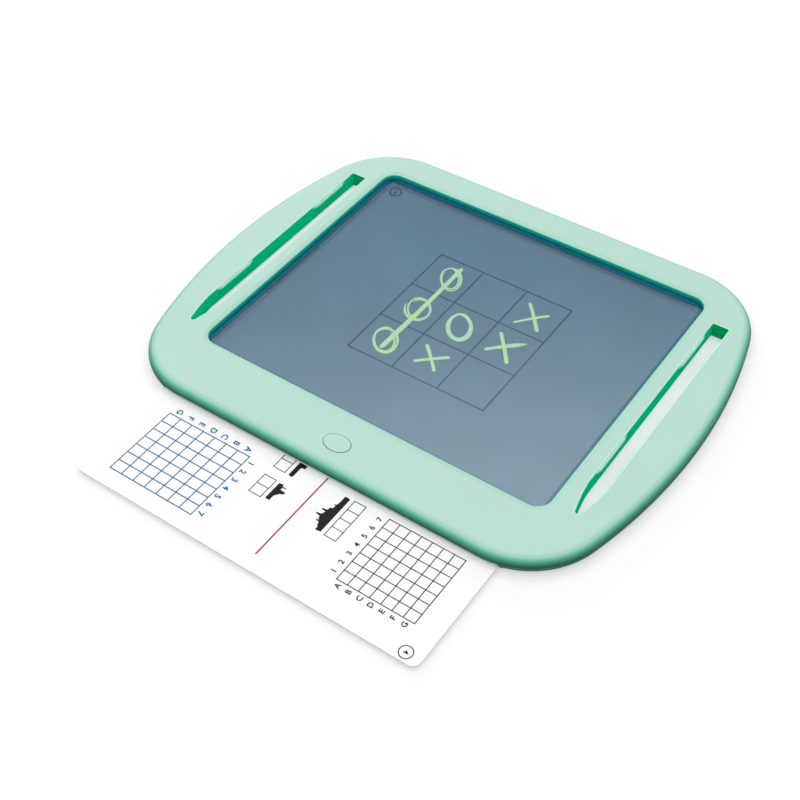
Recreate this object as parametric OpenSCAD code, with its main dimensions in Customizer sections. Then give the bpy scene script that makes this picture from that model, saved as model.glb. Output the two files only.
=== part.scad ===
// Erasable writing tablet with see-through screen and slide-in game cards.
// Origin: centre of the flat underside. +X right, +Y away from the player, +Z up. Millimetres.

/* [Case] */
// Length of the case, side to side
case_l = 279; // [276:1:286]
// Width of the case, front to back
case_w = 220.2; // [219:0.2:226]
// Plan radius of the bulging left and right sides
side_r = 290; // [240:5:340]
// Plan radius of the four corners
corner_r = 43.5; // [38:0.5:46]
// Rounding of the upper edge, down to the parting line
top_round = 5; // [4.5:0.1:5.2]
// Thickness of the top plate
plate_t = 1.6; // [1.2:0.1:1.8]
// Thickness of the floor
floor_t = 1.4; // [1.2:0.1:1.6]
// Thickness of the outer walls
wall_t = 2; // [1.8:0.1:2.4]

/* [Window] */
// Case edge to window edge at each side, at the widest place of the case
side_margin = 39.5; // [37:0.5:43]
// Case edge to window edge at the front
front_margin = 34.7; // [32:0.1:38]
// Case edge to window edge at the back
back_margin = 20.9; // [19:0.1:23]
// Corner radius of the window
window_r = 7.5; // [5:0.5:10]
// Width of the sloped band round the window
bezel_w = 3; // [2:0.5:4]
// Drop of the sloped band at the window edge
bezel_drop = 0.6; // [0.3:0.1:0.8]
// Width of the carrier ledge that shows inside the window
ledge_w = 3; // [2.5:0.1:3.5]

/* [Screen stack] */
// Thickness of the carrier frame
carrier_t = 0.8; // [0.8:0.1:1]
// Thickness of the clear backing panel
panel_t = 1; // [0.8:0.1:1]
// Thickness of the writing film
film_t = 0.8; // [0.6:0.1:0.8]
// Thickness of the foam gasket
gasket_t = 0.4; // [0.3:0.1:0.6]
// Overlap of the film outside the window, on each side
film_lap = 3; // [2.5:0.1:3.2]
// Height of the rim under the top plate that presses on the gasket
rim_h = 1.3; // [1.2:0.1:2]

/* [Stylus slots] */
// Centre of each slot outside the window edge
slot_offset = 13.2; // [12.8:0.1:14]
// Width of the slot
slot_w = 8.8; // [8:0.1:9.4]
// Slot end to case edge at the back
slot_back = 33.8; // [31:0.1:37]
// Slot tip to case edge at the front
slot_front = 41.5; // [39:0.1:46]
// Length of the pointed front of the slot
slot_taper_l = 18.6; // [14:0.1:22]
// Width of the slot at its tip
slot_tip_w = 2.6; // [2:0.1:4]
// Thickness of the wall round each slot
slot_wall = 1.4; // [1.2:0.1:1.6]
// Reach of each snap tab into the slot
tab_reach = 0.9; // [0.5:0.1:1]
// Length of each snap tab
tab_l = 22.5; // [18:0.5:24]
// Slot end to the middle of the rear pair of tabs
tab_back = 23.2; // [15:0.1:30]
// Slot tip to the middle of the front pair of tabs
tab_front = 40; // [34:0.1:48]

/* [Erase button] */
// Length of the oval button hole
button_l = 14.9; // [13:0.1:16]
// Width of the oval button hole
button_w = 10.7; // [9:0.1:11]
// Centre of the button behind the front edge of the case
button_setback = 15.3; // [15:0.1:16]
// Gap round the button
button_gap = 0.25; // [0.2:0.05:0.4]
// Travel of the button
button_travel = 0.5; // [0.3:0.1:0.5]

/* [Cards] */
// Window edge to card edge at each side
card_inset = 2.7; // [1:0.1:4]
// Case edge to the front edge of a card that is home
card_setback = 0.5; // [0:0.1:2]
// Thickness of a card
card_t = 0.5; // [0.4:0.1:0.6]
// Height of the card slot
card_slot_h = 2; // [1.8:0.1:2]
// Corner radius of a card
card_r = 4; // [2:0.5:6]
// Distance that the fleet card is drawn out
card_pull = 61.5; // [0:0.5:120]

/* [Battery] */
// Diameter of the coin cell
cell_d = 20; // [18:1:21]
// Thickness of the coin cell
cell_t = 2.5; // [2.4:0.1:2.6]

/* [Fasteners and feet] */
// Diameter of the screw heads
head_d = 4.4; // [4:0.1:4.6]
// Height of the screw heads
head_h = 1.4; // [1.2:0.1:1.5]
// Diameter of the screw shanks
shank_d = 1.8; // [1.6:0.1:2]
// Diameter of the rubber feet
foot_d = 10; // [8:0.5:11]
// Thickness of the rubber feet
foot_t = 0.9; // [0.8:0.1:1]
// Depth of the foot recesses
foot_recess = 0.5; // [0.4:0.1:0.6]

/* [Hidden] */
$fn = 48;
eps = 0.01;          // overlap of cutters beyond the face they cut
cut = 2;             // reach of through cuts beyond both faces
fit = 0.2;           // clearance between parts that drop into one another
play = 0.3;          // clearance round parts that lie loose in a pocket

mint = "#b9ddd0";
board_green = "#1f6b45";

// Levels, from the underside up
card_z = floor_t;
carrier_z = card_z + card_slot_h;
panel_z = carrier_z + carrier_t;
film_z = panel_z + panel_t;
gasket_z = film_z + film_t;
rim_z = gasket_z + gasket_t;
plate_z = rim_z + rim_h;
case_t = plate_z + plate_t;
split_z = case_t - top_round;
bottom_round = split_z;
board_z = panel_z;

// Plan of the case: the corner arcs are tangent to the side arcs
side_cx = case_l/2 - side_r;
corner_cy = case_w/2 - corner_r;
corner_cx = side_cx + sqrt(pow(side_r - corner_r, 2) - pow(corner_cy, 2));
tangent_a = atan2(corner_cy, corner_cx - side_cx);
corner_steps = 12;
side_steps = 8;
round_steps = 7;

// Places in plan
front_y = -case_w/2;
window_l = case_l - 2*side_margin;
window_w = case_w - front_margin - back_margin;
window_y = (front_margin - back_margin)/2;
slot_x = window_l/2 + slot_offset;
slot_y0 = front_y + slot_front;
slot_y1 = case_w/2 - slot_back;
film_l = window_l + 2*film_lap;
film_w = window_w + 2*film_lap;
film_front = window_y - film_w/2;
opening_l = window_l - 2*ledge_w;
opening_w = window_w - 2*ledge_w;
rim_inset = 0.5;        // rim and gasket stand inside the film's edge
stop_y = window_y + window_w/2 - ledge_w/2;
card_gap = 0.4;         // clearance beside and behind the cards
card_l = window_l - 2*card_inset;
guide_x = card_l/2 + card_gap;
guide_t = 1.2;
guide_front = front_y + wall_t + 0.6;
card_back = stop_y - play;
card_w = card_back - front_y - card_setback;
card_space = 0.3;       // air between the two cards, and under the lower one
fleet_z = card_z + card_space - 0.05;
notch_r = 12;           // half-round thumb notch in the floor, at the card mouth
notch_y = front_y - 2;

// Inside corners of the two shells
plate_fillet = 1.6;
floor_fillet = [1.4, 1.8];   // width and height

// Tongue and rebate that locate the shells on one another
tongue_in = 1.1;
tongue_h = 1;
tongue_root = 1;

// Snap tabs, measured down from the top face: lead-in slope, nose, slope under it, and ramped ends
tab_top = 0.2;
tab_lead_h = 1.4;
tab_slope_h = 0.8;
tab_h = 4;
tab_ramp = 3;

// Slot outline: share of the full width and of the taper's length at its knee, radius of the back
// corners, and the flare of the edge in the underside
slot_knee_w = 0.72;
slot_knee_l = 0.52;
slot_corner_r = 0.8;
slot_flare = 0.8;
button_y = front_y + button_setback;

// Erase button and its switch
board_t = 1;
switch_h = 0.8;
switch_w = 6;
switch_leg = [1.1, 0.8, 0.25];   // half length across the body edge, width, thickness
switch_leg_y = 2;
plunger_d = 2.4;
flange_reach = 1.6;
flange_t = 0.8;
flange_z = plate_z - flange_t;
plunger_lap = 0.25;     // depth of the plunger in the switch bore
button_edge = 0.3;      // step of the button's softened rim

// Circuit board, between the screen stack and the front wall
board_x0 = -guide_x + 4.7;
board_x1 = 14;
board_y0 = front_y + wall_t + 3.9;
board_y1 = film_front - 6.9;
board_tab_l = 11;
board_tab_y = film_front - 1.3;
stake_d = 2;            // posts of the carrier frame, melted over the board
stake_xs = [-70, -14];
stake_head = 0.5;
board_mid_y = (board_y0 + board_y1)/2;
board_top = board_z + board_t;
chip_x = -32;
chip_l = 5;
chip_w = 3.9;
chip_h = 1.2;
chip_pitch = 1.27;
chip_leg = [0.4, 1, 0.3];
tail_x = -26;
tail_w = 14;
tail_t = 0.25;
tail_lap = 3.5;
tail_bend = 1.5;

// Battery bay in the front left corner
bay_r = cell_d/2 + card_gap;
bay_wall = 1;
bay_gap = 0.6;
cell_x = -(guide_x + guide_t + bay_gap + bay_r);
cell_y = slot_y0 - slot_wall - bay_gap - bay_wall - bay_r;
door_t = 1;
door_lap = 0.8;
door_pad = 0.5;
door_pad_r = 6;
cell_z = door_t + door_pad;
cell_crown = 0.4;       // raised negative cap of the cell
cell_cap_d = cell_d - 2.6;
contact_t = 0.3;
contact_w = 4;
contact_z = cell_z + cell_t + 0.2;
contact_step_x = board_x0 - 0.6;
contact_pad = 3.5;      // length on the board
positive_y = film_front - contact_w/2 - 1.6;
negative_y = positive_y - contact_w - 2;
negative_x = cell_x - 3;
leaf_w = 2.2;           // leaf that bears on the side of the cell
leaf_off = max(0, abs(positive_y - cell_y) - leaf_w/2);
leaf_x = cell_x + sqrt(pow(cell_d/2, 2) - pow(leaf_off, 2)) + 0.02;
dimple_d = 2.4;
bay_roof_z = cell_z + cell_t + 0.6;
bay_roof_t = 0.8;
door_ear_r = 3.2;
door_reach = bay_r + door_lap + door_ear_r + 1.2;   // cell centre to screw
door_turn = -73;        // direction of the ear, in degrees
door_ear_t = 1.8;
door_neck_r = 2.5;      // half width of the neck between the disc and the ear
door_boss_r = 2.7;      // raised seat of the screw on the ear
door_screw_place = [cell_x + door_reach*cos(door_turn), cell_y + door_reach*sin(door_turn)];
door_pilot_z = 4.6;
door_head = [0.1, 1];   // lower and upper face of the screw head

// Housing screws: three outside each slot and two along the back
boss_r = 2.6;
boss_z = split_z - 0.3;
well_r = head_d/2 + 0.5;
well_z = boss_z - 1.6;
well_wall = 0.9;
pilot_r = shank_d/2 + 0.05;
pilot_spare = 0.6;
screw_l = 4.6;
recess = [2.4, 0.6, 0.6];   // cross recess of the screw heads
back_screw_x = 60;
back_screw_y = (window_y + film_w/2 + case_w/2)/2 - 0.6;
screw_front = 46;       // case edge to the front pair of screws
screw_back = 52;        // case edge to the rear pair beside the slots

// Middle between a slot's wall and the case wall, at y
function beside_slot(y) = (slot_x + slot_w/2 + slot_wall + side_cx + sqrt(pow(side_r, 2) - y*y) - wall_t)/2;

screw_places = [for (s = [-1, 1]) each [
    for (y = [front_y + screw_front, 0, case_w/2 - screw_back]) [s*beside_slot(y), y],
    [s*back_screw_x, back_screw_y]]];

// Feet: two behind the slots and two under the front margin
foot_in = 7.4;
foot_gap = 5.4;
foot_front = 12.5;
foot_places = [for (s = [-1, 1]) each [
    [s*(slot_x - foot_in), slot_y1 + slot_wall + foot_gap + foot_d/2],
    [s*(guide_x - foot_d), front_y + foot_front]]];

// Carrier frame: fence round the film and the panel
fence_t = 1.6;
fence_x = film_l/2 + play;
fence_y = window_y + film_w/2 + play;
carrier_y0 = cell_y + bay_r + bay_wall + bay_gap;
rail_lap = 0.5;         // rest of the frame on each card rail
carrier_x = guide_x + rail_lap;
carrier_front = -corner_cy - sqrt(pow(corner_r - wall_t, 2) - pow(carrier_x - corner_cx, 2)) + play;

// Right half of the plan, from the front to the back, moved in by d
function half_plan(d) = concat(
    [for (k = [0:corner_steps]) let (a = -90 + (90 - tangent_a)*k/corner_steps)
        [corner_cx + (corner_r - d)*cos(a), -corner_cy + (corner_r - d)*sin(a)]],
    [for (k = [1:side_steps - 1]) let (a = tangent_a*(2*k/side_steps - 1))
        [side_cx + (side_r - d)*cos(a), (side_r - d)*sin(a)]],
    [for (k = [0:corner_steps]) let (a = tangent_a + (90 - tangent_a)*k/corner_steps)
        [corner_cx + (corner_r - d)*cos(a), corner_cy + (corner_r - d)*sin(a)]]);

function mirrored(half) = concat(half, [for (k = [len(half) - 1:-1:0]) [-half[k][0], half[k][1]]]);

function case_plan(d) = mirrored(half_plan(d));

function oval(l, w, steps = 40) = [for (k = [0:steps - 1]) let (a = 360*k/steps)
    [l/2*cos(a), w/2*sin(a)]];

function rounded_box(l, w, r, steps = 6) = [for (c = [[1, 1, 0], [-1, 1, 90], [-1, -1, 180], [1, -1, 270]])
    for (k = [0:steps]) let (a = c[2] + 90*k/steps)
        [c[0]*(l/2 - r) + r*cos(a), c[1]*(w/2 - r) + r*sin(a)]];

// Stylus slot grown by g: round tip at the front, tapered, then straight, with rounded back corners
function slot_plan(g, steps = 6) = mirrored([
    for (k = [0:steps]) let (a = 90*(k + 0.5)/(steps + 0.5))
        [(slot_tip_w/2 + g)*sin(a), slot_y0 + slot_tip_w/2 - (slot_tip_w/2 + g)*cos(a)],
    [slot_w/2*slot_knee_w + g, slot_y0 + slot_taper_l*slot_knee_l],
    [slot_w/2 + g, slot_y0 + slot_taper_l],
    for (k = [0:steps]) let (a = 90*k/steps)
        [slot_w/2 - slot_corner_r + (slot_corner_r + g)*cos(a),
         slot_y1 - slot_corner_r + (slot_corner_r + g)*sin(a)]]);

module both_slots(z0, z1, g = 0) {
    for (s = [-1, 1]) translate([s*slot_x, 0, z0])
        linear_extrude(z1 - z0) polygon(slot_plan(g));
}

// Solid through equal-length plans, one at each level
module loft(plans, levels) {
    n = len(plans[0]);
    m = len(plans);
    polyhedron(
        points = [for (j = [0:m - 1]) for (p = plans[j]) [p[0], p[1], levels[j]]],
        faces = concat(
            [[for (k = [0:n - 1]) k]],
            [for (j = [0:m - 2]) for (k = [0:n - 1])
                [j*n + k, (j + 1)*n + k, (j + 1)*n + (k + 1)%n, j*n + (k + 1)%n]],
            [[for (k = [n - 1:-1:0]) (m - 1)*n + k]]));
}

function round_in(r, k) = r*(1 - cos(90*k/round_steps));
function round_up(r, k) = r*sin(90*k/round_steps);

module upper_solid() {
    straight = case_t - top_round > split_z + eps ? [0] : [];
    loft([for (s = straight) case_plan(0), for (k = [0:round_steps]) case_plan(round_in(top_round, k))],
         [for (s = straight) split_z,
          for (k = [0:round_steps]) case_t - top_round + round_up(top_round, k)]);
}

module lower_solid() {
    loft([for (k = [round_steps:-1:0]) case_plan(round_in(bottom_round, k))],
         [for (k = [round_steps:-1:0]) bottom_round - round_up(bottom_round, k)]);
}

module plan_slab(z0, z1, d) {
    translate([0, 0, z0]) linear_extrude(z1 - z0) polygon(case_plan(d));
}

module box(x0, x1, y0, y1, z0, z1) {
    translate([x0, y0, z0]) cube([x1 - x0, y1 - y0, z1 - z0]);
}

module post(place, r, z0, z1) {
    translate([place[0], place[1], z0]) cylinder(r = r, h = z1 - z0);
}

module window_slab(z0, z1, grow) {
    translate([0, window_y, z0]) linear_extrude(z1 - z0)
        polygon(rounded_box(window_l + 2*grow, window_w + 2*grow, window_r + grow));
}

module front_housing() color(mint) {
    difference() {
        union() {
            difference() {
                upper_solid();
                loft([case_plan(wall_t), case_plan(wall_t), case_plan(wall_t + plate_fillet)],
                     [split_z - cut, plate_z - plate_fillet, plate_z]);
                // rebate for the rear housing's tongue
                plan_slab(split_z - eps, split_z + tongue_h + fit, tongue_in - fit/2);
            }
            // rim that presses the gasket on the film
            window_slab(rim_z, plate_z + eps, film_lap - rim_inset);
            both_slots(floor_t, plate_z + eps, slot_wall);
            for (p = screw_places) post(p, boss_r, boss_z, plate_z + eps);
        }
        window_slab(rim_z - cut, case_t + cut, 0);
        loft([for (g = [0, bezel_w, bezel_w + bezel_w])
                  [for (p = rounded_box(window_l + 2*g, window_w + 2*g, window_r + g)) p + [0, window_y]]],
             [case_t - bezel_drop, case_t, case_t + bezel_drop]);
        both_slots(floor_t - cut, case_t + cut);
        translate([0, button_y, plate_z - cut]) linear_extrude(plate_t + 2*cut)
            polygon(oval(button_l, button_w));
        for (p = screw_places) post(p, pilot_r, boss_z - cut, well_z + screw_l + pilot_spare);
    }
    snap_tabs();
}

// Sprung bumps that hold a stylus, two pairs in each slot
module snap_tabs() {
    z0 = case_t - tab_top - tab_h;
    z1 = case_t - tab_top;
    root = tab_l + 2*tab_ramp;
    for (s = [-1, 1], t = [-1, 1], y = [slot_y1 - tab_back, slot_y0 + tab_front])
        translate([s*slot_x + t*slot_w/2, y, 0]) intersection() {
            translate([0, root/2, 0]) rotate([90, 0, 0]) linear_extrude(root)
                polygon([[t*slot_wall/2, z0], [0, z0], [-t*tab_reach, z0 + tab_slope_h],
                         [-t*tab_reach, z1 - tab_lead_h], [0, z1], [t*slot_wall/2, z1]]);
            translate([0, 0, z0]) linear_extrude(tab_h)
                polygon([[t*slot_wall/2, -root/2], [0, -root/2], [-t*tab_reach, -tab_l/2],
                         [-t*tab_reach, tab_l/2], [0, root/2], [t*slot_wall/2, root/2]]);
        }
}

module door_outline(g) {
    translate([cell_x, cell_y]) circle(r = bay_r + door_lap + g);
    translate(door_screw_place) circle(r = door_ear_r + g);
    translate([cell_x, cell_y]) rotate(door_turn) translate([0, -door_neck_r - g])
        square([door_reach, 2*(door_neck_r + g)]);
}

module rear_housing() color(mint) difference() {
    union() {
        difference() {
            lower_solid();
            loft([case_plan(wall_t + floor_fillet[0]), case_plan(wall_t), case_plan(wall_t)],
                 [floor_t, floor_t + floor_fillet[1], split_z + cut]);
        }
        // tongue that locks into the front housing
        difference() {
            plan_slab(split_z - tongue_root, split_z + tongue_h, tongue_in);
            plan_slab(split_z - tongue_root - eps, split_z + tongue_h + eps, wall_t);
        }
        // rails beside the cards and the stop behind them, once the card slot is cut
        box(-guide_x - guide_t, guide_x + guide_t, guide_front, stop_y + guide_t, floor_t - eps, carrier_z);
        for (p = screw_places) post(p, well_r + well_wall, floor_t - eps, boss_z);
        battery_bay();
    }
    // card slot, open at the front
    box(-guide_x, guide_x, front_y - cut, stop_y, floor_t, split_z + tongue_h + cut);
    post([0, notch_y], notch_r, -cut, floor_t + eps);
    both_slots(-cut, floor_t + cut);
    for (s = [-1, 1]) translate([s*slot_x, 0, 0])
        loft([slot_plan(slot_flare + eps), slot_plan(0)], [-eps, slot_flare]);
    for (p = screw_places) {
        post(p, well_r, -eps, well_z);
        post(p, pilot_r + play, -eps, boss_z + eps);
    }
    translate([0, 0, -eps]) linear_extrude(door_t + eps) door_outline(fit);
    post(door_screw_place, door_boss_r + fit, -eps, door_ear_t);
    post([cell_x, cell_y], bay_r, -eps, bay_roof_z);
    post(door_screw_place, pilot_r, 0, door_pilot_z);
    // way out for both contacts, and a pocket for the leaf
    box(negative_x - play, -guide_x + fit, negative_y - contact_w/2 - play, positive_y + contact_w/2 + play,
        contact_z - play, bay_roof_z - eps);
    box(cell_x, leaf_x + contact_t + play, positive_y - leaf_w/2 - play, positive_y + leaf_w/2 + play,
        -eps, bay_roof_z);
    for (p = foot_places) post(p, foot_d/2 + fit/2, -eps, foot_recess);
}

module battery_bay() intersection() {
    difference() {
        union() {
            post([cell_x, cell_y], bay_r + bay_wall, floor_t - eps, bay_roof_z + bay_roof_t);
            post(door_screw_place, door_ear_r + bay_wall, floor_t - eps, door_pilot_z + pilot_spare);
        }
        // clears the corner of the screen stack
        box(-film_l/2 - play, 0, film_front - play, 0, panel_z - eps, case_t);
        box(-guide_x - guide_t + eps, 0, front_y, 0, carrier_z - eps, case_t);
    }
    plan_slab(0, case_t, wall_t + play);
}

module carrier_frame() color("#9fcabc") {
    difference() {
        union() {
            box(-fence_x - fence_t, fence_x + fence_t, carrier_y0, fence_y + fence_t, carrier_z, panel_z);
            box(-carrier_x, carrier_x, carrier_front, carrier_y0 + eps, carrier_z, panel_z);
            for (s = [-1, 1]) translate([s*(fence_x + fence_t/2), 0, 0])
                box(-fence_t/2, fence_t/2, carrier_y0, fence_y + fence_t, carrier_z, gasket_z);
            box(-fence_x - fence_t, fence_x + fence_t, fence_y, fence_y + fence_t, carrier_z, gasket_z);
            box(board_x1 + 2, guide_x, film_front - play - fence_t, film_front - play, carrier_z, gasket_z);
        }
        translate([0, window_y, carrier_z - cut]) linear_extrude(2*cut + panel_z)
            polygon(rounded_box(opening_l, opening_w, window_r - ledge_w/2));
        // relief under both battery contacts
        box(-carrier_x - eps, contact_step_x + contact_t + play, negative_y - contact_w/2 - play,
            positive_y + contact_w/2 + play, contact_z - play, panel_z + eps);
    }
    for (x = stake_xs) {
        post([x, board_mid_y], stake_d/2, panel_z - eps, board_top + stake_head);
        post([x, board_mid_y], stake_d/2 + stake_head, board_top, board_top + stake_head);
    }
}

module screen_plate(z, t, trim) {
    translate([0, window_y, z]) linear_extrude(t)
        polygon(rounded_box(film_l - 2*trim, film_w - 2*trim, 2));
}

module backing_panel() color("#e8f4f8", 0.4) screen_plate(panel_z, panel_t, 0.2);

module writing_film() color("#6f899b") screen_plate(film_z, film_t, 0);

module screen_gasket() color("#2a2d2e") difference() {
    window_slab(gasket_z, rim_z, film_lap - rim_inset - 0.1);
    window_slab(gasket_z - cut, rim_z + cut, play);
}

module erase_button() color(mint) translate([0, button_y, 0]) {
    l = button_l - 2*button_gap;
    w = button_w - 2*button_gap;
    loft([oval(l, w), oval(l, w), oval(l - button_edge, w - button_edge),
          oval(l - 3*button_edge, w - 3*button_edge)],
         [plate_z, case_t - 2*button_edge, case_t - button_edge/2, case_t]);
    translate([0, 0, flange_z]) linear_extrude(flange_t)
        polygon(oval(button_l + 2*flange_reach, button_w + 2*flange_reach));
}

module switch_plunger() color("#d8d3c4")
    post([0, button_y], plunger_d/2, board_top + switch_h - plunger_lap, flange_z);

module tact_switch() color("#3a3c3f") difference() {
    union() {
        box(-switch_w/2, switch_w/2, button_y - switch_w/2, button_y + switch_w/2,
            board_top, board_top + switch_h);
        for (s = [-1, 1], t = [-1, 1]) translate([s*switch_w/2, button_y + t*switch_leg_y, board_top])
            box(-switch_leg[0], switch_leg[0], -switch_leg[1]/2, switch_leg[1]/2, 0, switch_leg[2]);
    }
    post([0, button_y], plunger_d/2 + fit/2, board_top - cut, board_top + switch_h + cut);
}

module circuit_board() color(board_green) difference() {
    union() {
        box(board_x0, board_x1, board_y0, board_y1, board_z, board_top);
        // tab that carries the battery contacts
        box(board_x0, board_x0 + board_tab_l, board_y1 - eps, board_tab_y, board_z, board_top);
    }
    for (x = stake_xs) post([x, board_mid_y], stake_d/2 + fit/2, board_z - cut, board_top + cut);
}

module driver_chip() color("#26282b") translate([chip_x, board_mid_y, board_top]) {
    box(-chip_l/2, chip_l/2, -chip_w/2, chip_w/2, 0.1, chip_h);
    for (k = [-1.5:1.5], s = [-1, 1]) translate([k*chip_pitch, s*(chip_w + chip_leg[1])/2, 0])
        box(-chip_leg[0]/2, chip_leg[0]/2, -chip_leg[1]/2 - eps, chip_leg[1]/2 + eps, 0, chip_leg[2]);
}

// Coil, capacitors and diode of the erase pulse circuit: x, offset in y, length, width, height
board_part_sizes = [[-44, 3.2, 4, 4, 1.2], [-44, -3.4, 2, 1.2, 0.8], [-50, 3, 2, 1.2, 0.8],
                    [-50, -3, 3.2, 1.6, 1], [-57, 0, 3.2, 2.5, 1.1]];

module board_parts() color("#8a8074")
    for (p = board_part_sizes) translate([p[0], board_mid_y + p[1], board_top])
        box(-p[2]/2, p[2]/2, -p[3]/2, p[3]/2, 0, p[4]);

module film_flex_tail() color("#c98a2b")
    translate([tail_x - tail_w/2, 0, 0]) rotate([90, 0, 90]) linear_extrude(tail_w) {
        run = [[board_y1 - tail_lap, board_top], [board_y1 + tail_bend, board_top],
               [film_front - tail_bend, film_z], [film_front, film_z]];
        polygon(concat(run, [for (k = [3:-1:0]) run[k] + [0, tail_t]]));
    }

module coin_cell() color("#c8cacc") translate([cell_x, cell_y, cell_z]) {
    cylinder(d = cell_d, h = cell_t - cell_crown);
    cylinder(d = cell_cap_d, h = cell_t);
}

// Stamped strip from x0 over the cell, stepped up or down to the top of the board
module contact_strip(x0, y) {
    translate([0, y + contact_w/2, 0]) rotate([90, 0, 0]) linear_extrude(contact_w)
        polygon([[x0, contact_z], [contact_step_x + contact_t, contact_z],
                 [contact_step_x + contact_t, board_top], [board_x0 + contact_pad, board_top],
                 [board_x0 + contact_pad, board_top + contact_t], [contact_step_x, board_top + contact_t],
                 [contact_step_x, contact_z + contact_t], [x0, contact_z + contact_t]]);
}

module contact_negative() color("#cdb873") {
    contact_strip(negative_x, negative_y);
    post([negative_x + dimple_d, negative_y], dimple_d/2, cell_z + cell_t, contact_z + eps);
}

module contact_positive() color("#cdb873") {
    contact_strip(leaf_x, positive_y);
    box(leaf_x, leaf_x + contact_t, positive_y - leaf_w/2, positive_y + leaf_w/2,
        cell_z + 0.3, contact_z + eps);
}

module battery_door() color(mint) difference() {
    union() {
        intersection() {
            lower_solid();
            union() {
                linear_extrude(door_t) door_outline(0);
                post(door_screw_place, door_boss_r, 0, door_ear_t);
            }
        }
        post([cell_x, cell_y], door_pad_r, door_t - eps, door_t + door_pad);
    }
    post(door_screw_place, head_d/2 + fit, -eps, door_head[1]);
    post(door_screw_place, shank_d/2 + fit, -eps, door_ear_t + eps);
}

// Screw with its head below, from z0 to z1, and its shank up to z2
module screw(place, z0, z1, z2) {
    difference() {
        post(place, head_d/2, z0, z1);
        translate([place[0], place[1], z0]) for (a = [0, 90]) rotate(a)
            box(-recess[0]/2, recess[0]/2, -recess[1]/2, recess[1]/2, -eps, recess[2]);
    }
    post(place, shank_d/2, z1 - eps, z2);
}

module battery_door_screw() color("#b4b7ba")
    screw(door_screw_place, door_head[0], door_head[1], door_pilot_z - 0.4);

module housing_screws() color("#b4b7ba")
    for (p = screw_places) screw(p, well_z - head_h, well_z, well_z + screw_l);

module rubber_feet() color("#d9dcdc")
    for (p = foot_places) post(p, foot_d/2, foot_recess - foot_t, foot_recess);

module game_card(z, pull) {
    translate([0, card_back - card_w/2 - pull, z]) linear_extrude(card_t)
        polygon(rounded_box(card_l, card_w, card_r));
}

module noughts_card() color("white") game_card(fleet_z + card_t + card_space, 0);

module fleet_card() color("white") game_card(fleet_z, card_pull);

front_housing();
rear_housing();
carrier_frame();
backing_panel();
writing_film();
screen_gasket();
erase_button();
switch_plunger();
tact_switch();
circuit_board();
driver_chip();
board_parts();
film_flex_tail();
coin_cell();
contact_negative();
contact_positive();
battery_door();
battery_door_screw();
housing_screws();
rubber_feet();
noughts_card();
fleet_card();
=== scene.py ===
"""Erasable writing tablet with slide-in game cards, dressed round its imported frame.
Origin: centre of the flat underside. +X right, +Y away from the player, +Z up. Meshes are drawn in
millimetres and brought to metres when they become pieces."""
import math

import bmesh
import bpy
from mathutils import Euler, Matrix, Vector
from mathutils.geometry import tessellate_polygon


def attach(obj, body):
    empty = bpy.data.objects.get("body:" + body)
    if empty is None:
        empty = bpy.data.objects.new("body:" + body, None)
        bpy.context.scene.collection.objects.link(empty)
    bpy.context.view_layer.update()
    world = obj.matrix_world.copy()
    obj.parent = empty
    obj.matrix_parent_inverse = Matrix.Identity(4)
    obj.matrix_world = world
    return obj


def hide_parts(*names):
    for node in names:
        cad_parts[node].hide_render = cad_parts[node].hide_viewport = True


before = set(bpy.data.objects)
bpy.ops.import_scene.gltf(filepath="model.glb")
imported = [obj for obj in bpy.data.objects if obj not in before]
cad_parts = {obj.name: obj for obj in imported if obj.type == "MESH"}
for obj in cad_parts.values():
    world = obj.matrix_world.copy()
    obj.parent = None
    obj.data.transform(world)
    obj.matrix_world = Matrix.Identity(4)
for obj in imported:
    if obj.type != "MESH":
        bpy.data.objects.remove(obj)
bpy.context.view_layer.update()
MM = 0.001


# ---- Camera
# A product shot from the front right, looking down at the tablet as it lies on a table.
camera = bpy.data.objects.new("camera", bpy.data.cameras.new("camera"))
camera.data.sensor_width = 36
camera.data.lens = 59.64
view_down, view_turn, view_roll = 46.45, 36.57, -1.914    # degrees
tilt = Euler((math.radians(90 - view_down), 0, math.radians(view_turn))).to_matrix()
camera.rotation_euler = (tilt @ Matrix.Rotation(math.radians(view_roll), 3, "Z")).to_euler()
camera.location = (0.26985, -0.40807, 0.47065)
bpy.context.scene.collection.objects.link(camera)
bpy.context.scene.camera = camera


# ---- Front shell
# The upper half of the case, injection moulded in mint ABS: a full round edge, a sloped band round
# the window, two open stylus slots with sprung tabs on their walls, and the hole of the erase button.
case_l, case_w, case_t = 279, 220.2, 9.3
side_r, corner_r = 290, 43.5
top_round = 5
split_z = case_t - top_round
wall_t = 2
plate_z = case_t - 1.6
plate_fillet = 1.6
edge_round = 0.6    # soft edges of the moulded holes
seam_in, seam_up = 0.12, 0.15    # half of the fine groove at the parting line
side_x = case_l/2 - side_r
corner_y = case_w/2 - corner_r
corner_x = side_x + math.sqrt((side_r - corner_r)**2 - corner_y**2)
side_turn = math.atan2(corner_y, corner_x - side_x)


def linear(colour):
    """A hex colour in sRGB as the linear colour that shaders take."""
    parts = [int(colour[k:k + 2], 16)/255 for k in (1, 3, 5)]
    return [c/12.92 if c <= 0.04045 else ((c + 0.055)/1.055)**2.4 for c in parts] + [1]


def material(name):
    """A material whose nodes are still to be added, and its node tree."""
    made = bpy.data.materials.new(name)
    made.use_nodes = True
    made.node_tree.nodes.clear()
    return made, made.node_tree


def node(tree, kind, inputs, **settings):
    """Adds a node. Each input takes a value or the output socket that feeds it."""
    made = tree.nodes.new(kind)
    for name, value in settings.items():
        setattr(made, name, value)
    for name, value in inputs.items():
        if isinstance(value, bpy.types.NodeSocket):
            tree.links.new(value, made.inputs[name])
        else:
            made.inputs[name].default_value = value
    return made


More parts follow.
